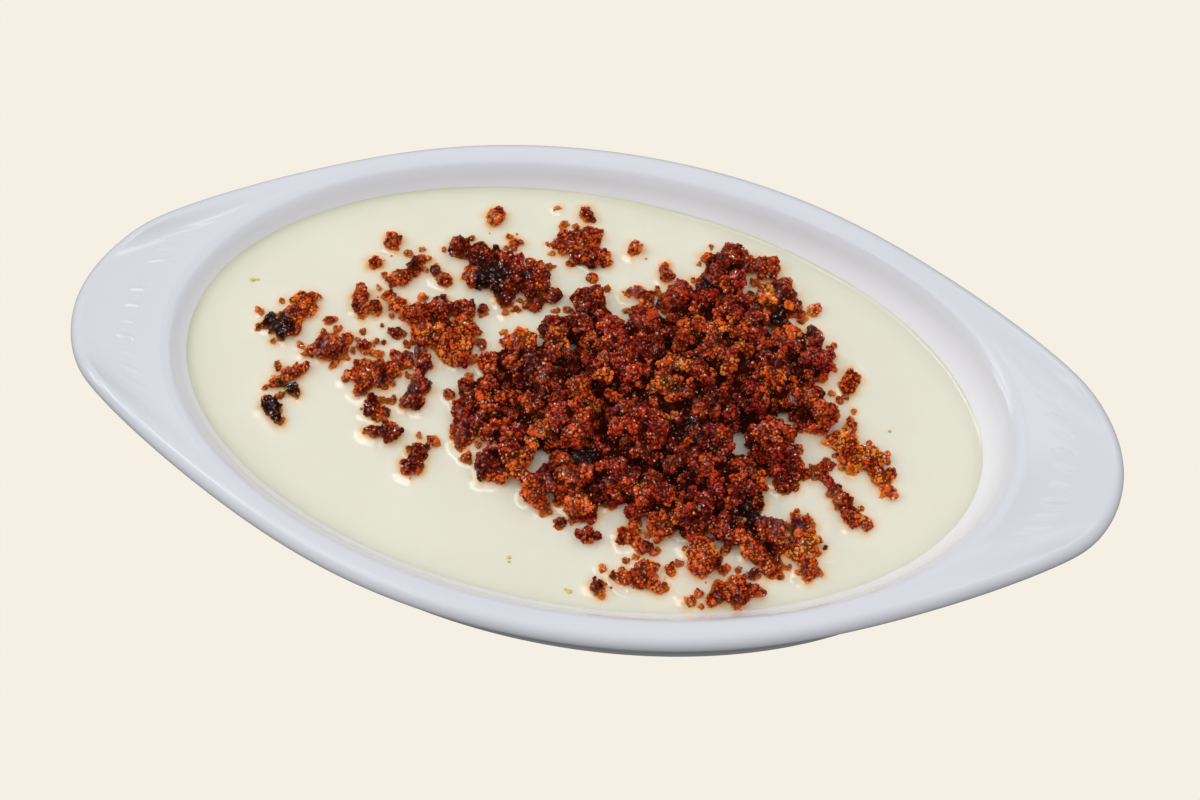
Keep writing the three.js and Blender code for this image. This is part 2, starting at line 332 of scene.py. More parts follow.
def ribs(x, y, t, s):
    """Height of the soft radial ribs across each lug, at angles t and share s of the band."""
    crest, rim = crest_reach(t), outline_reach(t) - LIP_R
    across = (s - RIB_AT) * (rim - crest)
    fine = np.linspace(0, 2 * np.pi, 8001)
    mx, my = oval(lambda q: crest_reach(q) * (1 - RIB_AT) + (outline_reach(q) - LIP_R) * RIB_AT, fine)
    along = np.concatenate([[0], np.cumsum(np.hypot(np.diff(mx), np.diff(my)))])
    z = np.zeros(len(t))
    for centre in (0.0, np.pi):
        turn_by = np.mod(t - centre + np.pi, 2 * np.pi) - np.pi
        middle = np.interp(centre, fine, along)
        u = np.interp(np.mod(t, 2 * np.pi), fine, along) - middle
        u = np.mod(u + along[-1] / 2, along[-1]) - along[-1] / 2
        k = np.round(u / RIB_PITCH)
        off = u - k * RIB_PITCH
        fade = np.clip(6.6 - np.abs(k), 0, 1) * (0.75 + 0.25 * np.sin(k * 2.4 + centre))
        z += (np.abs(turn_by) < 1.2) * fade * RIB_HIGH * np.exp(-((off / RIB_WIDE) ** 2)) * np.exp(-((across / RIB_LONG) ** 4))
    return z


def dish():
    """Verts, triangles, and how far down the inner wall each point is, 0 to 1."""
    t = even_angles(600, 190)
    share = lug_share(t)
    crest_z = RIM - LUG_CREST_DROP * share
    lip_z = LIP - LUG_DROP * share
    rings, inside = [], []
    steps = np.concatenate([np.linspace(INNER_S[-1], 14.5, 8), np.linspace(13.6, 0.25, 34)])
    for s in steps:
        d, b = inner_wall(np.array([s]))
        x, y = oval(lambda q: crest_reach(q) - d[0], t)
        rings.append(np.stack([x, y, RIM - b[0] - (RIM - crest_z) * np.exp(-b[0] / 3)], 1))
        inside.append(min(b[0] / 9.0, 1.0))
    for s in np.linspace(0, 0.96, 42):
        x, y = oval(lambda q: crest_reach(q) * (1 - s) + (outline_reach(q) - LIP_R) * s, t)
        soft = 1 - (1 - s) ** 2
        z = crest_z * (1 - soft) + (lip_z + LIP_R) * soft
        rings.append(np.stack([x, y, z + share * ribs(x, y, t, s)], 1))
        inside.append(0)
    for deg in np.linspace(90, -80, 18):
        a = math.radians(deg)
        x, y = oval(lambda q: outline_reach(q) - LIP_R * (1 - math.cos(a)), t)
        rings.append(np.stack([x, y, lip_z + LIP_R * math.sin(a)], 1))
        inside.append(0)
    for s in (0.2, 0.4, 0.6, 0.8):
        x, y = oval(
            lambda q: (outline_reach(q) - LIP_R * (1 - math.cos(math.radians(80)))) * (1 - s)
            + (crest_reach(q) - OUTER[0, 0]) * s,
            t,
        )
        z = (lip_z - LIP_R * math.sin(math.radians(80))) * (1 - s) + OUTER[0, 1] * s
        rings.append(np.stack([x, y, z - 0.25 * math.sin(math.pi * s)], 1))
        inside.append(0)
    heights = np.concatenate([np.linspace(OUTER[0, 1], 1.6, 14), [0.9, 0.35, 0.0]])
    ins = np.interp(-heights, -OUTER[:, 1], OUTER[:, 0])
    ins[-2:] += [0.35, 1.1]
    for d, z in zip(ins, heights):
        x, y = oval(lambda q: crest_reach(q) - d, t)
        rings.append(np.stack([x, y, np.full(len(t), z)], 1))
        inside.append(0)
    for d, z in ((10.9, 0.0), (13.0, 0.0), (13.6, 0.12), (14.2, 0.5), (15.0, RECESS), (20, RECESS)):
        x, y = oval(lambda q: crest_reach(q) - d, t)
        rings.append(np.stack([x, y, np.full(len(t), z)], 1))
        inside.append(0)
    for k in (0.66, 0.5):
        rings.append(rings[-1] * [k, k, 1])
        inside.append(0)
    v, f = loft(rings, (0, 0, FLOOR), (0, 0, RECESS))
    return v, f, np.concatenate([[1], np.repeat(inside, len(t)), [0]])


def glaze():
    m, nt, out = material("white_glaze")
    s = nt.nodes["Principled BSDF"]
    s.inputs["Roughness"].default_value = 0.13
    s.inputs["Coat Weight"].default_value = 0.0
    co = nt.nodes.new("ShaderNodeTexCoord").outputs["Object"]
    cloud = noise(nt, co, 22, 3)
    tint = ramp(nt, cloud, [(0.3, (0.72, 0.735, 0.775)), (0.7, (0.75, 0.76, 0.79))])
    # the foot ring is bare clay
    z = nt.nodes.new("ShaderNodeSeparateXYZ")
    nt.links.new(co, z.inputs[0])
    bare = map_range(nt, z.outputs["Z"], 0.0002, 0.0004, 1, 0)
    clay = ramp(nt, noise(nt, co, 900, 2), [(0.3, (0.50, 0.44, 0.36)), (0.7, (0.60, 0.54, 0.46))])
    # a little greyer towards the left handle
    x = nt.nodes.new("ShaderNodeSeparateXYZ")
    nt.links.new(co, x.inputs[0])
    tint = mix(nt, map_range(nt, x.outputs["X"], -0.108, -0.080, 0.9, 0, True), tint, (0.690, 0.715, 0.735))
    # painted light: the inner wall made lighter further down it, and lightest just above the dip, against the shade in
    # the bowl
    tint = mix(nt, math_node(nt, "MULTIPLY", attr(nt, "inside"), 1.0), tint, (0.91, 0.91, 0.93))
    tint = mix(nt, attr(nt, "low"), tint, (0.975, 0.985, 1.0))
    nt.links.new(mix(nt, bare, tint, clay), s.inputs["Base Color"])
    nt.links.new(map_range(nt, bare, 0, 1, 0.13, 0.8), s.inputs["Roughness"])
    bump(nt, s, noise(nt, co, 60, 2), 0.05, 0.0004)
    return m


# ------------------------------------------------------------------ materials
def material(name):
    m = bpy.data.materials.new(name)
    m.use_nodes = True
    nt = m.node_tree
    return m, nt, nt.nodes["Material Output"]


def noise(nt, vector, scale, detail=2.0, rough=0.5, distort=0.0, out="Fac"):
    n = nt.nodes.new("ShaderNodeTexNoise")
    n.inputs["Scale"].default_value = scale
    n.inputs["Detail"].default_value = detail
    n.inputs["Roughness"].default_value = rough
    n.inputs["Distortion"].default_value = distort
    nt.links.new(vector, n.inputs["Vector"])
    return n.outputs[out]


def voronoi(nt, vector, scale, feature="F1", out="Distance", random=1.0):
    n = nt.nodes.new("ShaderNodeTexVoronoi")
    n.feature = feature
    n.inputs["Scale"].default_value = scale
    n.inputs["Randomness"].default_value = random
    nt.links.new(vector, n.inputs["Vector"])
    return n.outputs[out]


def ramp(nt, fac, stops):
    n = nt.nodes.new("ShaderNodeValToRGB")
    e = n.color_ramp.elements
    while len(e) < len(stops):
        e.new(0.5)
    for el, (p, c) in zip(e, stops):
        el.position = p
        el.color = (*c, 1)
    nt.links.new(fac, n.inputs["Fac"])
    return n.outputs["Color"]


def math_node(nt, op, a, b=None, clamp=False):
    n = nt.nodes.new("ShaderNodeMath")
    n.operation, n.use_clamp = op, clamp
    for i, v in enumerate((a, b)):
        if v is None:
            continue
        if isinstance(v, (int, float)):
            n.inputs[i].default_value = v
        else:
            nt.links.new(v, n.inputs[i])
    return n.outputs[0]


def map_range(nt, v, a, b, c, d, smooth=False):
    n = nt.nodes.new("ShaderNodeMapRange")
    if smooth:
        n.interpolation_type = "SMOOTHSTEP"
    for key, val in (("From Min", a), ("From Max", b), ("To Min", c), ("To Max", d)):
        n.inputs[key].default_value = val
    nt.links.new(v, n.inputs["Value"])
    return n.outputs["Result"]


def mix(nt, fac, a, b, kind="MIX"):
    n = nt.nodes.new("ShaderNodeMix")
    n.data_type, n.blend_type = "RGBA", kind
    ins = [i for i in n.inputs if i.enabled or True]
    f = n.inputs[0]
    sa, sb = [i for i in n.inputs if i.type == "RGBA"]
    for socket, v in ((f, fac), (sa, a), (sb, b)):
        if isinstance(v, (int, float)):
            socket.default_value = v
        elif isinstance(v, tuple):
            socket.default_value = (*v, 1)
        else:
            nt.links.new(v, socket)
    return [o for o in n.outputs if o.type == "RGBA"][0]


def bump(nt, shader, height, strength, distance, coat=False):
    n = nt.nodes.new("ShaderNodeBump")
    n.inputs["Strength"].default_value = strength
    n.inputs["Distance"].default_value = distance
    nt.links.new(height, n.inputs["Height"])
    nt.links.new(n.outputs["Normal"], shader.inputs["Normal"])
    if coat:
        nt.links.new(n.outputs["Normal"], shader.inputs["Coat Normal"])
    return n.outputs["Normal"]


def attr(nt, name):
    n = nt.nodes.new("ShaderNodeAttribute")
    n.attribute_type, n.attribute_name = "GEOMETRY", name
    return n.outputs["Fac"]


def finish_piece(o, m, slot, *nodes):
    o.data.materials.clear()
    o.data.materials.append(m)
    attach(o, "root")
    if nodes:
        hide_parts(*nodes)


# --------------------------------------------------------------- build: dish
v, f, inside = dish()
dish_obj = add_object("dish_glazed", make_mesh("dish_glazed", v, f))
attribute(dish_obj.data, "inside", inside)
finish_piece(dish_obj, glaze(), "dish", "dish")


# ------------------------------------------------------------ chorizo crumbs
GRAIN, GRAIN_GAP = 0.38, 0.78
# places in mm on the heap and the loose lumps: x, y, reach
RED = [(21.7, 44.9, 2.2), (28.3, 35.2, 3.0), (9.1, 4.3, 3.2), (5.5, -12.1, 3.6), (51.9, 20.5, 3.5), (32.2, -20.0, 5.5)]
RED += [(-7.1, -22.4, 3.0), (36.5, -9.3, 3.0), (26.3, -35.0, 3.0), (-28.0, 2.6, 2.4), (-74.7, -1.5, 2.4), (-68.9, -13.3, 2.2)]
RED += [(58.3, -10.9, 3.0), (-22.6, 31.3, 2.6), (32.6, -2.0, 2.6), (29.7, 29.4, 2.6), (1.9, 14.8, 2.6), (-18.2, -6.8, 2.6)]
CHAR = [(24.9, -5.5, 3.4), (2.7, -17.7, 2.8), (21.0, -17.4, 3.2), (41.3, -22.1, 4.4), (-28.8, 24.9, 4.2), (20.9, 33.0, 2.6)]
CHAR += [(22.0, 40.3, 2.4), (39.5, 28.8, 2.8), (-74.6, 2.5, 4.6), (-69.9, -19.2, 4.0), (-67.3, -13.2, 3.4)]
DARK = [(-13.7, -0.4, 5.0), (-8.4, -3.4, 4.5), (10.6, -17.0, 7.0), (6.8, -20.7, 5.5), (24.6, 12.4, 4.0), (37.1, 1.6, 5.0)]
DARK += [(-30.0, 16.8, 5.5), (-38.8, 15.9, 5.0), (-8.5, 7.9, 3.5), (30.1, 0.9, 5.5), (37.1, 14.6, 4.0), (25.3, -10.6, 5.5)]
DARK += [(16.5, -12.2, 5.5), (48.8, -12.1, 5.0), (30.9, -27.7, 5.0), (53.2, -22.3, 2.6), (-42.6, 2.9, 3.5), (3.8, -30.7, 3.2)]
DARK += [(-27.7, 0.5, 3.2), (41.6, -44.3, 3.0), (-6.7, 34.9, 3.2), (-21.8, -21.0, 3.2), (-46.5, -9.0, 3.2), (-40.1, 13.9, 3.0)]
WARM = [(8.1, 27.9, 5.0), (21.2, 15.5, 3.6), (25.3, 24.2, 3.4), (18.7, 7.7, 3.2), (12.0, -26.2, 4.0), (-1.2, -4.5, 4.0)]
WARM += [(2.2, 1.7, 3.0), (19.8, 15.5, 3.0), (20.5, 5.2, 2.6), (16.3, 1.0, 4.0), (-18.5, -16.0, 4.5), (-8.3, -15.0, 4.0)]
WARM += [(11.1, -29.7, 2.6), (21.8, -29.1, 2.6), (14.5, 23.7, 2.8), (39.8, 23.6, 2.8), (54.2, -37.3, 2.8), (56.0, -11.8, 2.4)]
WARM += [(16.8, -25.2, 4.0), (32.0, 16.2, 4.0), (-10.6, 12.3, 4.0), (36.4, 32.7, 3.0), (18.0, -30.7, 4.0)]
# small loose crumbs: x, y, radius
CRUMBS = [
    (-79.4, 6, 1.5), (-78.9, 2.3, 1.5), (-76.3, 6, 1.1), (-75.4, 9.9, 1.3), (-74.8, -0.8, 1.1), (-73.4, -13, 1),
    (-71.9, -7, 1.5), (-69.5, -14.4, 1.3), (-68.2, -0.5, 1.4), (-63.6, 7.1, 2), (-60.8, 5.2, 1.5), (-59.8, -4.3,
    1.4), (-56.3, -7, 1.3), (-56.3, 0.6, 1.1), (-55.6, 3.7, 1.2), (-54.9, 5.7, 1.2), (-54.1, 17.9, 1.2), (-53.8,
    21.6, 1.2), (-53.7, 13.6, 2), (-51.4, 4.1, 1), (-51.1, 8.5, 1.1), (-49.9, 0.9, 1.8), (-49.6, 4.5, 1), (-49.5,
    28.8, 1.6), (-49.4, 11.3, 1.1), (-47.1, 7.2, 2.6), (-47, 11.7, 1.5), (-46.7, 30.5, 1.1), (-46.6, -10.6, 1.6),
    (-45, -5.8, 1.1), (-44.8, 25.5, 1.3), (-44.2, 4.7, 1.5), (-43.9, -10.3, 1.6), (-43.4, 17.7, 1.4), (-42, -3.1,
    1.3), (-41.7, 31.6, 1), (-40.4, 3.2, 2.6), (-36, -17.6, 1.3), (-35.8, 35.9, 1.3), (-32.6, -18.2, 2.1), (-31.9,
    -5.9, 1.9), (-29, 17.8, 2.3), (-28.3, -0.2, 1.7), (-27.7, 4.3, 1.4), (-27.4, 34.9, 1.2), (-27.4, 38.3, 1.2),
    (-27.2, 8.4, 2.1), (-24.2, -21, 2), (-23.6, 17.9, 1.4), (-22.7, 13, 1.1), (-22.3, -17, 1.3), (-21.2, 19.3, 1.4),
    (-21.1, 21.8, 1.3), (-20.8, 32.9, 1.6), (-17.9, 38.2, 1.1), (-17.7, 48.7, 1.1), (-16.3, 32.2, 1.6), (-16.2, 36,
    1.2), (-15.3, 44.3, 1.5), (-15.1, 12.8, 1), (-12.7, 44.7, 1.1), (-12, 21, 1.3), (-9.6, 21.8, 1.5), (-5.6, 31.5,
    2.2), (-3.5, -30.1, 1.9), (-1.5, 29.1, 1.4), (0.2, -32.2, 2.3), (4.2, 24.5, 1.5), (5.5, 31.3, 1.1), (6.6, -34.3,
    3), (10.1, 31, 1.5), (11.7, -41.4, 1.3), (12.5, -45.4, 1.1), (12.7, -47.6, 1.2), (16.3, -38.3, 1.5), (16.5,
    -29.3, 2.6), (17.5, 36.2, 1), (18.3, -37, 1.4), (18.3, 40.8, 1), (19.6, -31, 1.4), (20.2, 45.4, 1.1), (22.8,
    -34.3, 1.1), (28.4, -36.4, 1.5), (28.6, -32.2, 1), (31.3, 35.5, 1.2), (32.4, 38.6, 1.7), (33.7, -42.7, 1.5),
    (34.9, -45.5, 1.1), (36.9, -33.2, 1.1), (37.9, -36, 2), (39.6, -37.9, 1.2), (40.1, 39.9, 1.1), (41.1, -35.1,
    1.4), (44.5, 30.7, 1.8), (44.8, -35.3, 2.3), (46.6, 34, 2.3), (47.2, 2.2, 1.3), (48, -34.1, 1.2), (49.4, -2.8,
    2.1), (50.5, -34.7, 1.8), (52, -32.3, 1.3), (52.6, 25, 1.4), (54, 19.5, 1), (54.5, 13.3, 1.4), (56.6, 11.9,
    1.3), (56.8, -5.5, 2), (58, -2.4, 1.2), (59.3, -25.8, 1), (60.2, 9.6, 1.1), (64.9, 2.2, 1), (65.7, -14.4, 1),
    (69.9, -1.7, 1.1)
]


def level(x, y):
    return LEVEL + FALL_X * x + RISE_Y * y


# where the painted light on the inner wall is strongest: low on the wall, just above the dip
attribute(dish_obj.data, "low", inside * np.exp(-np.clip(v[:, 2] - level(v[:, 0], v[:, 1]), 0, None) / 4.0))


def waves(p, scale, r, n=28):
    """Smooth uneven values, about -1 to 1, over points."""
    k = r.normal(0, 1, (n, 3))
    k *= (2 * math.pi / scale) * r.uniform(0.6, 1.6, (n, 1)) / np.linalg.norm(k, axis=1, keepdims=True)
    phase = r.uniform(0, 2 * math.pi, n)
    out = np.zeros(len(p))
    for a, b in zip(k, phase):
        out += np.sin(p @ a + b)
    return out / math.sqrt(n)


def near_places(p, places, r):
    """How far into the nearest of some places each point is, 0 to 1."""
    w = np.zeros(len(p))
    for x, y, reach in places:
        d = np.hypot(p[:, 0] - x, p[:, 1] - y) / reach
        w = np.maximum(w, np.clip(1.6 - d * 1.3, 0, 1))
    return w


def turns(k, r):
    """k random rotations."""
    q = r.normal(0, 1, (k, 4))
    w, x, y, z = (q / np.linalg.norm(q, axis=1, keepdims=True)).T
    return np.stack(
        [
            1 - 2 * (y * y + z * z), 2 * (x * y - z * w), 2 * (x * z + y * w),
            2 * (x * y + z * w), 1 - 2 * (x * x + z * z), 2 * (y * z - x * w),
            2 * (x * z - y * w), 2 * (y * z + x * w), 1 - 2 * (x * x + y * y),
        ],
        1,
    ).reshape(k, 3, 3)


def grains(p, n, g, r, sink):
    """Small uneven pebbles set into a surface at points p with normals n and radii g, and how far each point stands out."""
    v, f = ICO[1]
    k = len(p)
    shape = v[None] * r.uniform(0.7, 1.35, (k, 1, 3)) * r.uniform(0.8, 1.2, (k, len(v), 1))
    verts = np.einsum("kij,kvj->kvi", turns(k, r), shape) * g[:, None, None]
    out = (verts * n[:, None]).sum(2) / g[:, None]
    verts += (p - n * (g * sink)[:, None])[:, None, :]
    faces = f[None] + (np.arange(k) * len(v))[:, None, None]
    return verts.reshape(-1, 3), faces.reshape(-1, 3), np.clip(0.4 + out * 0.6, 0, 1).ravel()


def clod(centre, radius, r):
    """One crumb as a knot of balls."""
    k = int(r.integers(3, 7))
    c = r.normal(0, 1, (k, 3))
    c *= radius * r.uniform(0.35, 0.75, (k, 1)) / np.linalg.norm(c, axis=1, keepdims=True)
    c = (np.concatenate([[[0, 0, 0]], c]) * r.uniform(0.6, 1.4, 3)) @ turns(1, r)[0].T * [1, 1, 0.85]
    s = radius * np.concatenate([[0.62], r.uniform(0.28, 0.5, k)])
    return balls(c + centre, s, 2)


def owner(p, c, s):
    """Index of the crumb that each point belongs to."""
    out = np.empty(len(p), np.int64)
    for i in range(0, len(p), 3000):
        d = np.linalg.norm(p[i : i + 3000, None] - c[None], axis=2) - s
        out[i : i + 3000] = d.argmin(1)
    return out


def crust(parts, voxel, r, rough=1.0):
    """Fused crumbs as one uneven surface, and how far its points stand out of the hollows, 0 to 1."""
    v, f = worked(*join(parts), voxel)
    n = normals(v, f)
    v = v + n * (rough * (0.20 * waves(v, 2.8, r) + 0.12 * waves(v, 1.3, r)))[:, None]
    broad = smoothed(v, f, int(22 / voxel**1.2))
    n = normals(v, f)
    top = np.clip(0.5 + ((v - broad) * n).sum(1) / 1.5, 0, 1)
    return v, f, top


class Piece:
    """Parts of one piece, with values at each point."""

    def __init__(self):
        self.v, self.f, self.n, self.soft = [], [], 0, []
        self.a = {k: [] for k in ("tone", "red", "char", "deep", "top")}

    def add(self, v, f, soft=True, **values):
        self.v.append(v)
        self.f.append(f + self.n)
        self.soft.append(np.full(len(f), soft))
        self.n += len(v)
        for k in self.a:
            self.a[k].append(np.broadcast_to(values[k], len(v)))

    def build(self, name):
        v, f = np.concatenate(self.v), np.concatenate(self.f)
        me = make_mesh(name, v, f)
        for k, a in self.a.items():
            attribute(me, k, np.concatenate(a))
        attribute(me, "foot", np.clip((v[:, 2] - level(v[:, 0], v[:, 1])) / 2.2, 0, 1))
        print(name, len(f), "triangles")
        me.polygons.foreach_set("use_smooth", np.concatenate(self.soft))
        return add_object(name, me, False)


def traits(p, r, tone):
    """Tone, red and char of crumbs at points p."""
    tone = tone - 0.55 * near_places(p, DARK, r) + 0.45 * near_places(p, WARM, r)
    red = near_places(p, RED, r)
    char = near_places(p, CHAR, r)
    return np.clip(tone, 0, 1), red, char


def meat(name):
    m, nt, out = material(name)
    s = nt.nodes["Principled BSDF"]
    co = nt.nodes.new("ShaderNodeTexCoord").outputs["Object"]
    cell = nt.nodes.new("ShaderNodeSeparateColor")
    nt.links.new(voronoi(nt, co, 1600, "F1", "Color"), cell.inputs[0])
    patch = noise(nt, co, 260, 3, 0.6)
    t = math_node(nt, "MULTIPLY", attr(nt, "tone"), 0.58)
    t = math_node(nt, "ADD", t, math_node(nt, "MULTIPLY", cell.outputs[0], 0.22))
    t = math_node(nt, "ADD", t, math_node(nt, "MULTIPLY", patch, 1.5))
    t = math_node(nt, "SUBTRACT", t, 0.56, True)
    colour = ramp(nt, t, BROWN)
    red = math_node(nt, "MULTIPLY", attr(nt, "red"), map_range(nt, cell.outputs[1], 0.1, 0.7, 0.45, 1.0))
    colour = mix(nt, red, colour, mix(nt, patch, (0.20, 0.005, 0.004), (0.86, 0.040, 0.022)))
    char = map_range(nt, math_node(nt, "ADD", attr(nt, "char"), map_range(nt, noise(nt, co, 480, 3), 0.3, 0.7, -0.35, 0.35)), 0.35, 0.6, 0, 1, True)
    colour = mix(nt, char, colour, (0.009, 0.006, 0.006))
    # painted shade: the gaps between grains and between crumbs, and the hollows of the heap, darkened in the colour
    painted_hollow_shade = map_range(nt, attr(nt, "top"), 0.25, 0.68, 0.95, 0, True)
    painted_gap_shade = map_range(nt, attr(nt, "deep"), 0.15, 0.70, 0.85, 0, True)
    colour = mix(nt, painted_hollow_shade, colour, (0.020, 0.0028, 0.0013))
    colour = mix(nt, painted_gap_shade, colour, (0.030, 0.0030, 0.0014))
    # thin amber edges where the crumbs meet the dip: amber fat, with a painted glow standing in for light through the
    # thin edges, laid over the painted shade
    foot = map_range(nt, attr(nt, "foot"), 0.04, 0.85, 0.9, 0, True)
    painted_glow = math_node(nt, "MULTIPLY", foot, map_range(nt, noise(nt, co, 380, 2), 0.38, 0.6, 0.1, 1))
    colour = mix(nt, painted_glow, colour, (0.90, 0.27, 0.030))
    # pale flecks on the raised grains, in clusters: specks of fat and spice, also standing as painted glints
    tiny = nt.nodes.new("ShaderNodeSeparateColor")
    nt.links.new(voronoi(nt, co, 2500, "F1", "Color"), tiny.inputs[0])
    fleck_and_painted_glint = map_range(nt, tiny.outputs[2], 0.92, 0.96, 0, 1)
    cluster = map_range(nt, noise(nt, co, 260, 2), 0.40, 0.56, 0.15, 1)
    high = map_range(nt, attr(nt, "deep"), 0.5, 0.8, 0.25, 1)
    colour = mix(nt, math_node(nt, "MULTIPLY", math_node(nt, "MULTIPLY", fleck_and_painted_glint, high), cluster), colour, (1.0, 0.52, 0.34))
    nt.links.new(colour, s.inputs["Base Color"])
    s.inputs["Roughness"].default_value = 0.42
    s.inputs["Specular IOR Level"].default_value = 0.0
    wet = map_range(nt, noise(nt, co, 900, 2), 0.5, 0.6, 0.0, 1.0)
    wet = math_node(nt, "MULTIPLY", wet, map_range(nt, attr(nt, "top"), 0.45, 0.75, 0, 1))
    nt.links.new(wet, s.inputs["Coat Weight"])
    s.inputs["Coat Roughness"].default_value = 0.16
    grit = math_node(nt, "ADD", noise(nt, co, 2600, 3, 0.6), math_node(nt, "MULTIPLY", voronoi(nt, co, 1500), -0.7))
    bump(nt, s, grit, 0.9, 0.0003, True)
    return m


BROWN = [
    (0.0, (0.026, 0.0020, 0.0012)),
    (0.25, (0.16, 0.0098, 0.0030)),
    (0.5, (0.50, 0.043, 0.0062)),
    (0.75, (0.90, 0.125, 0.011)),
    (1.0, (1.0, 0.30, 0.030)),
]


def crumbs():
    fried = meat("chorizo_fried")
    heap_v, heap_f = arrays(frame["nodes"]["chorizo_heap"].data)
    heap_v = heap_v / MM
    sv, sf = worked(heap_v, heap_f, 0.7)
    # the core is the heap drawn in; crumbs of three sizes lie over it
    cv = smoothed(sv, sf, 3)
    parts = [(cv - normals(cv, sf) * 1.7, sf)]
    centres, sizes = [], []
    for radius, spacing in ((3.9, 6.4), (2.6, 4.6), (1.6, 3.1)):
        p, n, _ = on_surface(sv, sf, spacing, rng)
        ok = (p[:, 2] - level(p[:, 0], p[:, 1]) > 0.5) & (n[:, 2] > -0.6)
        for q, m in zip(p[ok], n[ok]):
            s = radius * rng.uniform(0.75, 1.25)
            c = q - m * s * rng.uniform(0.35, 0.9)
            parts.append(clod(c, s, rng))
            centres.append(c)
            sizes.append(s)
    centres, sizes = np.array(centres), np.array(sizes)
    v, f, top = crust(parts, 0.5, rng)
    v[:, 2] -= 0.35
    own = owner(v, centres, sizes)
    tone, red, char = traits(centres, rng, rng.beta(1.1, 1.7, len(centres)))
    red = np.maximum(red, rng.choice([0.0, 0.35, 0.6], len(centres), p=[0.62, 0.24, 0.14]))
    core = Piece()
    core.add(v, f, tone=tone[own], red=red[own], char=char[own], deep=0.12, top=top)
    finish_piece(core.build("chorizo_core"), fried, "chorizo", "chorizo_heap")

    p, n, k = on_surface(v, f, GRAIN_GAP, rng)
    up = p[:, 2] - level(p[:, 0], p[:, 1])
    ok = (up > 0.1) & ~((n[:, 2] < -0.3) & (up < 2.0))
    p, n, k = p[ok], n[ok], f[k[ok], 0]
    g = GRAIN * rng.lognormal(0, 0.36, len(p))
    who = own[k]
    kind = np.where(char[who] > 0.5, "black", np.where(red[who] > 0.55, "red", np.where(tone[who] > 0.62, "orange", np.where(tone[who] < 0.3, "dark", "brown"))))
    for name in ("brown", "orange", "dark", "red", "black"):
        s = kind == name
        gv, gf, deep = grains(p[s], n[s], g[s], rng, 0.35)
        each = lambda a: np.repeat(a, len(ICO[1][0]))
        own_tone = each(np.clip(tone[who[s]] + rng.normal(0, 0.06, s.sum()), 0, 1))
        piece = Piece()
        piece.add(gv, gf, False, tone=own_tone, red=each(red[who[s]]), char=each(char[who[s]]), deep=deep, top=each(top[k[s]]))
        finish_piece(piece.build("chorizo_grains_" + name), fried, "chorizo")

    low = v[np.abs(v[:, 2] - level(v[:, 0], v[:, 1])) < 0.3]
    feet = [low[::3]]
    for name in sorted(n for n in frame["nodes"] if n.startswith("chorizo_lump")):
        lv, lf = arrays(frame["nodes"][name].data)
        lv, lf = worked(lv / MM, lf, 0.45)
        lv = smoothed(lv, lf, 2)
        ln = normals(lv, lf)
        size = np.ptp(lv, axis=0)[:2].min()
        draw = 0.35 if size < 6 else 0.6
        parts = [(lv - ln * draw, lf)]
        reach = 1.0 if size < 6 else 1.5
        p, n, _ = on_surface(lv, lf, 1.9 * reach, rng)
        ok = (p[:, 2] - level(p[:, 0], p[:, 1]) > 0.2) & (n[:, 2] > -0.5)
        for q, m in zip(p[ok], n[ok]):
            s = reach * rng.uniform(0.7, 1.3)
            parts.append(clod(q - m * s * rng.uniform(0.1, 0.8), s, rng))
        lv, lf, top = crust(parts, 0.38, rng, 0.7)
        lv[:, 2] -= 0.45
        base = np.clip(rng.beta(1.3, 1.9) + 0.22 * waves(lv, 5.0, rng), 0, 1)
        tone, red, char = traits(lv, rng, base)
        piece = Piece()
        piece.add(lv, lf, tone=tone, red=red, char=char, deep=0.12, top=0.25 + 0.75 * top)
        p, n, k = on_surface(lv, lf, GRAIN_GAP, rng)
        up = p[:, 2] - level(p[:, 0], p[:, 1])
        ok = (up > 0.0) & (n[:, 2] > -0.5)
        p, n, k = p[ok], n[ok], lf[k[ok], 0]
        g = GRAIN * rng.lognormal(0, 0.30, len(p))
        gv, gf, deep = grains(p, n, g, rng, 0.3)
        each = lambda a: np.repeat(a[k], len(ICO[1][0]))
        piece.add(gv, gf, False, tone=np.clip(each(tone) + np.repeat(rng.normal(0, 0.08, len(p)), 12), 0, 1), red=each(red), char=each(char), deep=deep, top=0.25 + 0.75 * each(top))
        finish_piece(piece.build(name + "_meat"), fried, "chorizo", name)
        low = lv[np.abs(lv[:, 2] - level(lv[:, 0], lv[:, 1]) - 0.3) < 0.25]
        feet.append(low[:: max(1, len(low) // 90)])

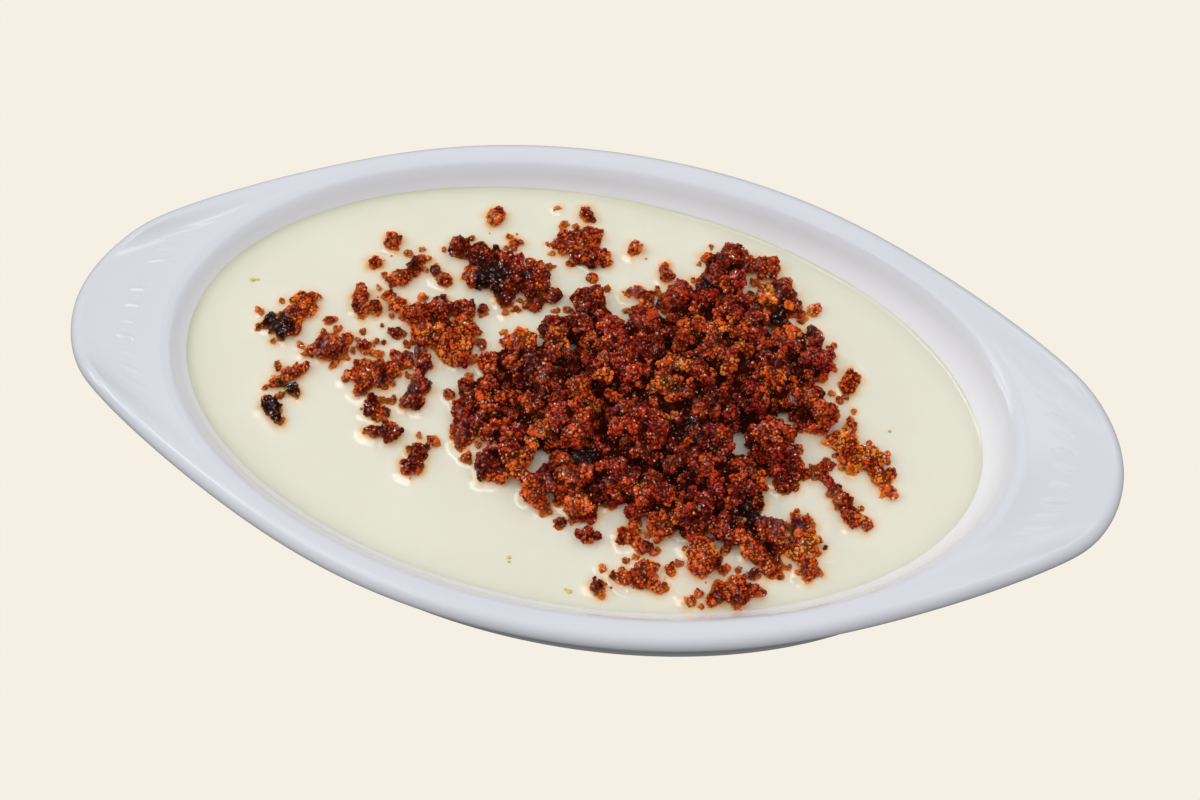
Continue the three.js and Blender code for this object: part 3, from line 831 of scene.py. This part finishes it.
    # grains and small crumbs that lie loose on the dip
    loose = Piece()
    lumps = np.concatenate(feet[1:])
    pick = rng.choice(len(lumps), 150, replace=False)
    around = rng.uniform(0, 2 * math.pi, 150)
    off = rng.uniform(0.5, 2.0, 150)
    p = lumps[pick] + np.column_stack([np.cos(around) * off, np.sin(around) * off, np.zeros(150)])
    g = 0.34 * rng.lognormal(0, 0.35, 150)
    p[:, 2] = level(p[:, 0], p[:, 1]) + g * 0.2
    gv, gf, deep = grains(p, np.tile([0.0, 0, 1], (150, 1)), g, rng, 0.0)
    loose.add(gv, gf, False, tone=np.repeat(rng.beta(1.6, 1.6, 150), 12), red=0.0, char=0.0, deep=deep, top=0.8)
    for x, y, radius in CRUMBS:
        z = level(x, y)
        lv, lf, top = crust([clod(np.array([x, y, z + radius * 0.25]), radius * 0.95, rng)], min(0.38, radius * 0.3), rng, 0.6)
        tone, red, char = traits(lv, rng, np.full(len(lv), rng.beta(1.8, 1.6)))
        loose.add(lv, lf, tone=tone, red=red, char=char, deep=0.12, top=0.3 + 0.7 * top)
        p, n, k = on_surface(lv, lf, GRAIN_GAP, rng)
        ok = p[:, 2] > z
        p, n, k = p[ok], n[ok], lf[k[ok], 0]
        if not len(p):
            continue
        gv, gf, deep = grains(p, n, GRAIN * 0.9 * rng.lognormal(0, 0.3, len(p)), rng, 0.3)
        loose.add(gv, gf, False, tone=np.repeat(tone[k], 12), red=np.repeat(red[k], 12), char=np.repeat(char[k], 12), deep=deep, top=0.8)
        feet.append(np.array([[x, y, z]]))
    finish_piece(loose.build("chorizo_loose"), fried, "chorizo")
    return np.concatenate(feet)


feet = crumbs()


# ------------------------------------------------------------------------ dip
CLIMB = 0.5  # how far the dip climbs the wall


def dip():
    """Verts, triangles, nearness to the wall and nearness to the crumbs (0 to 1)."""
    t = even_angles(SIDES)
    x = y = np.zeros(len(t))
    for _ in range(30):
        z = level(x, y)
        d = wall_inward(z + CLIMB) - 0.3
        e = 1e-3
        h, k = crest_reach(t) - d, (crest_reach(t + e) - crest_reach(t - e)) / (2 * e)
        x, y = h * np.cos(t) - k * np.sin(t), h * np.sin(t) + k * np.cos(t)
    edge = np.stack([x, y], 1)
    shares = np.concatenate([np.linspace(0.007, 0.93, 140), np.linspace(0.935, 1, 26)])
    p = (shares[:, None, None] * edge[None]).reshape(-1, 2)
    away = np.repeat(1 - shares, len(t)) * np.tile(np.hypot(*edge.T), len(shares))
    tree = kdtree.KDTree(len(feet))
    for i, q in enumerate(feet):
        tree.insert((q[0], q[1], 0), i)
    tree.balance()
    d = np.array([tree.find((q[0], q[1], 0))[2] for q in p])
    flat = np.column_stack([p, np.zeros(len(p))])
    z = level(p[:, 0], p[:, 1]) + CLIMB * np.exp(-np.maximum(away - 0.3, 0) / 1.1)
    # it rises in uneven swells toward the crumbs and climbs them a little
    calm = np.clip(away / 4, 0, 1)
    swell = (0.36 + 0.22 * np.clip(waves(flat, 9, rng), -1, 1)) * np.interp(p[:, 0], [-60, -15], [0.5, 1.0])
    z += calm * (swell * np.exp(-((d / 1.9) ** 2)) + 0.1 * np.exp(-d / 0.6))
    z += calm * (0.07 * waves(flat, 24, rng) + 0.022 * waves(flat, 8, rng))
    rings = list(np.column_stack([p, z]).reshape(len(shares), len(t), 3))
    below = (13.0, 17.0, 21.0, 24.0, 26.0)
    for b in below:
        zz = RIM - b
        px, py = oval(lambda q: crest_reach(q) - wall_inward(zz) - 0.2, t)
        rings.append(np.column_stack([px, py, np.full(len(t), zz)]))
    v, f = loft(rings, (0, 0, LEVEL), (0, 0, RIM - 26.6))
    rest = np.zeros(len(below) * len(t) + 1)
    wall = np.concatenate([[0], np.exp(-away / 1.6), rest])
    oil = np.concatenate([[0], np.exp(-((d / 1.3) ** 1.6)), rest])
    near = np.concatenate([[0], np.exp(-d / 1.8), rest])
    return v, f, wall, oil, near


def dip_material():
    m, nt, out = material("cheese_dip_cream")
    s = nt.nodes["Principled BSDF"]
    co = nt.nodes.new("ShaderNodeTexCoord").outputs["Object"]
    colour = ramp(nt, noise(nt, co, 40, 3), [(0.35, (0.820, 0.806, 0.645)), (0.65, (0.835, 0.820, 0.665))])
    # thin and greener where it wets the wall, and darker there as painted shade at the meniscus, most at the far left
    xyz = nt.nodes.new("ShaderNodeSeparateXYZ")
    nt.links.new(co, xyz.inputs[0])
    side = math_node(nt, "SUBTRACT", xyz.outputs["Y"], math_node(nt, "MULTIPLY", xyz.outputs["X"], 0.75))
    side = map_range(nt, side, -0.03, 0.09, 0.08, 0.62, True)
    colour = mix(nt, math_node(nt, "MULTIPLY", attr(nt, "wall"), side), colour, (0.56, 0.58, 0.33))
    # painted light: lighter close to the crumbs, against the shade they cast; and oil drawn out of them
    colour = mix(nt, math_node(nt, "MULTIPLY", attr(nt, "near"), 0.7), colour, (0.96, 0.94, 0.78))
    stain = math_node(nt, "MULTIPLY", attr(nt, "oil"), map_range(nt, noise(nt, co, 350, 2), 0.35, 0.65, 0.45, 1.0))
    colour = mix(nt, stain, colour, (0.86, 0.46, 0.10))
    nt.links.new(colour, s.inputs["Base Color"])
    s.inputs["Roughness"].default_value = 0.13
    s.inputs["Subsurface Weight"].default_value = 0.15
    s.inputs["Subsurface Radius"].default_value = (1.0, 0.8, 0.5)
    s.inputs["Subsurface Scale"].default_value = 0.003
    bump(nt, s, noise(nt, co, 120, 2), 0.05, 0.0005)
    return m


v, f, wall, oil, near = dip()
dip_obj = add_object("cheese_dip_surface", make_mesh("cheese_dip_surface", v, f))
attribute(dip_obj.data, "wall", wall)
attribute(dip_obj.data, "oil", oil)
attribute(dip_obj.data, "near", near)
finish_piece(dip_obj, dip_material(), "dip", "cheese_dip")

# specks of yellow fat on the dip
parts = []
for x, y, r in ((-83.7, 14.2, 0.62), (-82.6, 14.6, 0.4), (-9.5, -42.7, 0.5), (-9.2, -43.8, 0.32), (5.4, -48.0, 0.62), (4.5, -47.7, 0.36), (69.1, 6.5, 0.42)):
    sv, sf = ICO[3]
    sv = sv * [r, r * 0.8, r * 0.45] * rng.uniform(0.9, 1.1, (len(sv), 1))
    parts.append((sv + [x, y, level(x, y) + 0.06], sf))
specks = add_object("fat_specks", make_mesh("fat_specks", *join(parts)))
m, nt, out = material("yellow_fat")
s = nt.nodes["Principled BSDF"]
co = nt.nodes.new("ShaderNodeTexCoord").outputs["Object"]
nt.links.new(ramp(nt, noise(nt, co, 700, 2), [(0.35, (0.62, 0.46, 0.05)), (0.65, (0.80, 0.68, 0.16))]), s.inputs["Base Color"])
s.inputs["Roughness"].default_value = 0.22
finish_piece(specks, m, "dip")

# ---------------------------------------------------------------------- stage
floor = add_object("floor", make_mesh("floor", [(-3000, -3000, 0), (3000, -3000, 0), (3000, 3000, 0), (-3000, 3000, 0)], [(0, 1, 2, 3)]), False)
floor.location.z = -0.0002
m, nt, out = material("floor_paper")
s = nt.nodes["Principled BSDF"]
s.inputs["Base Color"].default_value = (0.14, 0.135, 0.125, 1)
s.inputs["Roughness"].default_value = 0.9
s.inputs["Specular IOR Level"].default_value = 0.1
paper = nt.nodes.new("ShaderNodeEmission")
paper.inputs["Color"].default_value = (0.9216, 0.8714, 0.7758, 1)
either = nt.nodes.new("ShaderNodeMixShader")
seen = nt.nodes.new("ShaderNodeLightPath")
nt.links.new(seen.outputs["Is Camera Ray"], either.inputs[0])
nt.links.new(s.outputs[0], either.inputs[1])
nt.links.new(paper.outputs[0], either.inputs[2])
nt.links.new(either.outputs[0], out.inputs["Surface"])
floor.data.materials.append(m)

cam_data = bpy.data.cameras.new("camera")
cam_data.sensor_width = 36
cam_data.lens = 78.858
cam_data.clip_start, cam_data.clip_end = 0.01, 20
cam = bpy.data.objects.new("camera", cam_data)
bpy.context.scene.collection.objects.link(cam)
right = Vector((0.9796951, 0.2004932, 0))
up = Vector((-0.1740065, 0.8502701, 0.4967519))
back = Vector((0.0995954, -0.4866654, 0.8678926))
cam.matrix_world = Matrix(
    (
        (right.x, up.x, back.x, 0.062783),
        (right.y, up.y, back.y, -0.294377),
        (right.z, up.z, back.z, 0.548555),
        (0, 0, 0, 1),
    )
)
bpy.context.scene.camera = cam


def area(name, at, to, size, power, colour=(1, 1, 1), size_y=None):
    d = bpy.data.lights.new(name, "AREA")
    d.energy, d.color, d.size = power, colour, size
    if size_y:
        d.shape, d.size_y = "RECTANGLE", size_y
    o = bpy.data.objects.new(name, d)
    bpy.context.scene.collection.objects.link(o)
    o.location = at
    o.rotation_euler = (Vector(to) - Vector(at)).to_track_quat("-Z", "Y").to_euler()
    return o


def lamp(name, azimuth, elevation, size, power, away=1.1, size_y=None):
    """A softbox in a direction: azimuth 0 behind the dish, 90 to its right."""
    a, e = math.radians(azimuth), math.radians(elevation)
    at = (away * math.cos(e) * math.sin(a), away * math.cos(e) * math.cos(a), 0.03 + away * math.sin(e))
    return area(name, at, (0, 0, 0.03), size, power, size_y=size_y)


lamp("key_left", 270, 42, 0.38, 1.15, size_y=0.25)
lamp("key_low", 270, 21, 0.4, 1.15, size_y=0.26)
lamp("front_left", 240, 66, 0.45, 0.62, size_y=0.25)
lamp("back_right", 30, 42, 0.45, 0.5, size_y=0.3)
lamp("top_right", 60, 66, 0.45, 0.4, size_y=0.3)
# small lamps seen only in the gloss: glints on the crumbs, a sheen on the dip's edge, the crest and the ribs
glint = lamp("glint", 300, 50, 0.12, 42.0)
sheen = lamp("sheen", 305, 73, 0.11, 1.2, size_y=0.50)
crest = lamp("crest_sheen", 307, 69, 0.10, 0.24, size_y=0.24)
rib = lamp("rib_sheen", 278, 59, 0.20, 0.60, size_y=0.20)
for o, starts in ((glint, "chorizo"), (sheen, "cheese_dip_surface"), (crest, "dish_glazed"), (rib, "dish_glazed")):
    o.visible_diffuse = False
    lit = bpy.data.collections.new(o.name + "_receivers")
    for p in bpy.context.scene.objects:
        if p.name.startswith(starts):
            lit.objects.link(p)
    if len(lit.objects):
        o.light_linking.receiver_collection = lit
world = bpy.data.worlds.new("studio")
bpy.context.scene.world = world
world.use_nodes = True
nt = world.node_tree
sky = nt.nodes["Background"]
sky.inputs[0].default_value = (0.96, 0.965, 1.0, 1)
# brighter overhead than near the horizon, and dark below it
way = nt.nodes.new("ShaderNodeSeparateXYZ")
nt.links.new(nt.nodes.new("ShaderNodeTexCoord").outputs["Generated"], way.inputs[0])
nt.links.new(map_range(nt, way.outputs["Z"], -0.05, 0.75, SKY_LOW, SKY_HIGH), sky.inputs[1])
world.cycles_visibility.glossy = False  # gloss sees the lamps only
bpy.context.scene.view_settings.view_transform = "Standard"
